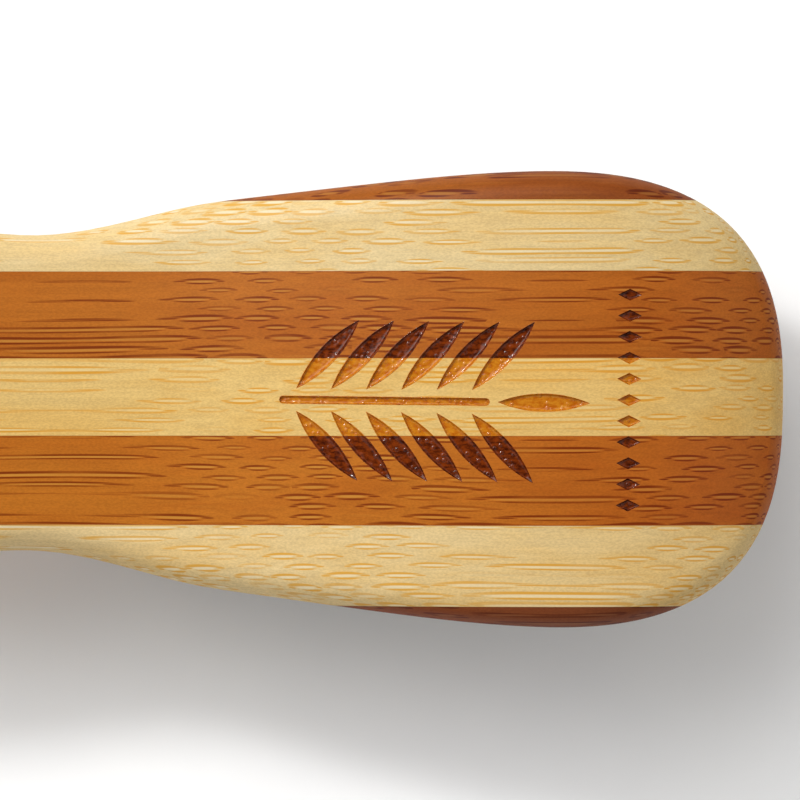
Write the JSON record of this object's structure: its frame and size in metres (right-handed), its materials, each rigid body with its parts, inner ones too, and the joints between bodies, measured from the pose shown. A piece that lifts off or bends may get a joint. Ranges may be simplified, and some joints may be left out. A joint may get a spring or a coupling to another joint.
{
  "type": "beard brush",
  "caption": "Short-handled palm brush for a beard: a lacquered block of light and dark bamboo strips with a rounded head, a waist, and stapled boar bristle tufts below.",
  "frame": {"origin": "on the plane of the trimmed bristle tips, under the middle of the brush's outline", "axes": "+X along the brush from the handle to the nose of the head, +Z from the bristles up to the back, +Y across the brush"},
  "size_m": [0.146, 0.0502, 0.0335],
  "materials": {
    "bamboo_light": "natural bamboo under clear gloss lacquer",
    "bamboo_dark": "caramelised bamboo under clear gloss lacquer",
    "bristle": "dark natural boar bristle, trimmed level",
    "staple_steel": "plain flat staple"
  },
  "bodies": {
    "root": {"strip_1_outer_dark": "bamboo_dark", "strip_2_light": "bamboo_light", "strip_3_dark": "bamboo_dark", "strip_4_middle_light": "bamboo_light", "strip_5_dark": "bamboo_dark", "strip_6_light": "bamboo_light", "strip_7_outer_dark": "bamboo_dark", "tuft_row_1": "bristle", "tuft_row_2": "bristle", "tuft_row_3": "bristle", "tuft_row_4": "bristle", "tuft_row_5": "bristle", "tuft_row_6": "bristle", "tuft_row_7": "bristle", "tuft_row_8": "bristle", "tuft_row_9": "bristle", "staple_row_1": "staple_steel", "staple_row_2": "staple_steel", "staple_row_3": "staple_steel", "staple_row_4": "staple_steel", "staple_row_5": "staple_steel", "staple_row_6": "staple_steel", "staple_row_7": "staple_steel", "staple_row_8": "staple_steel", "staple_row_9": "staple_steel"}
  },
  "joints": []
}
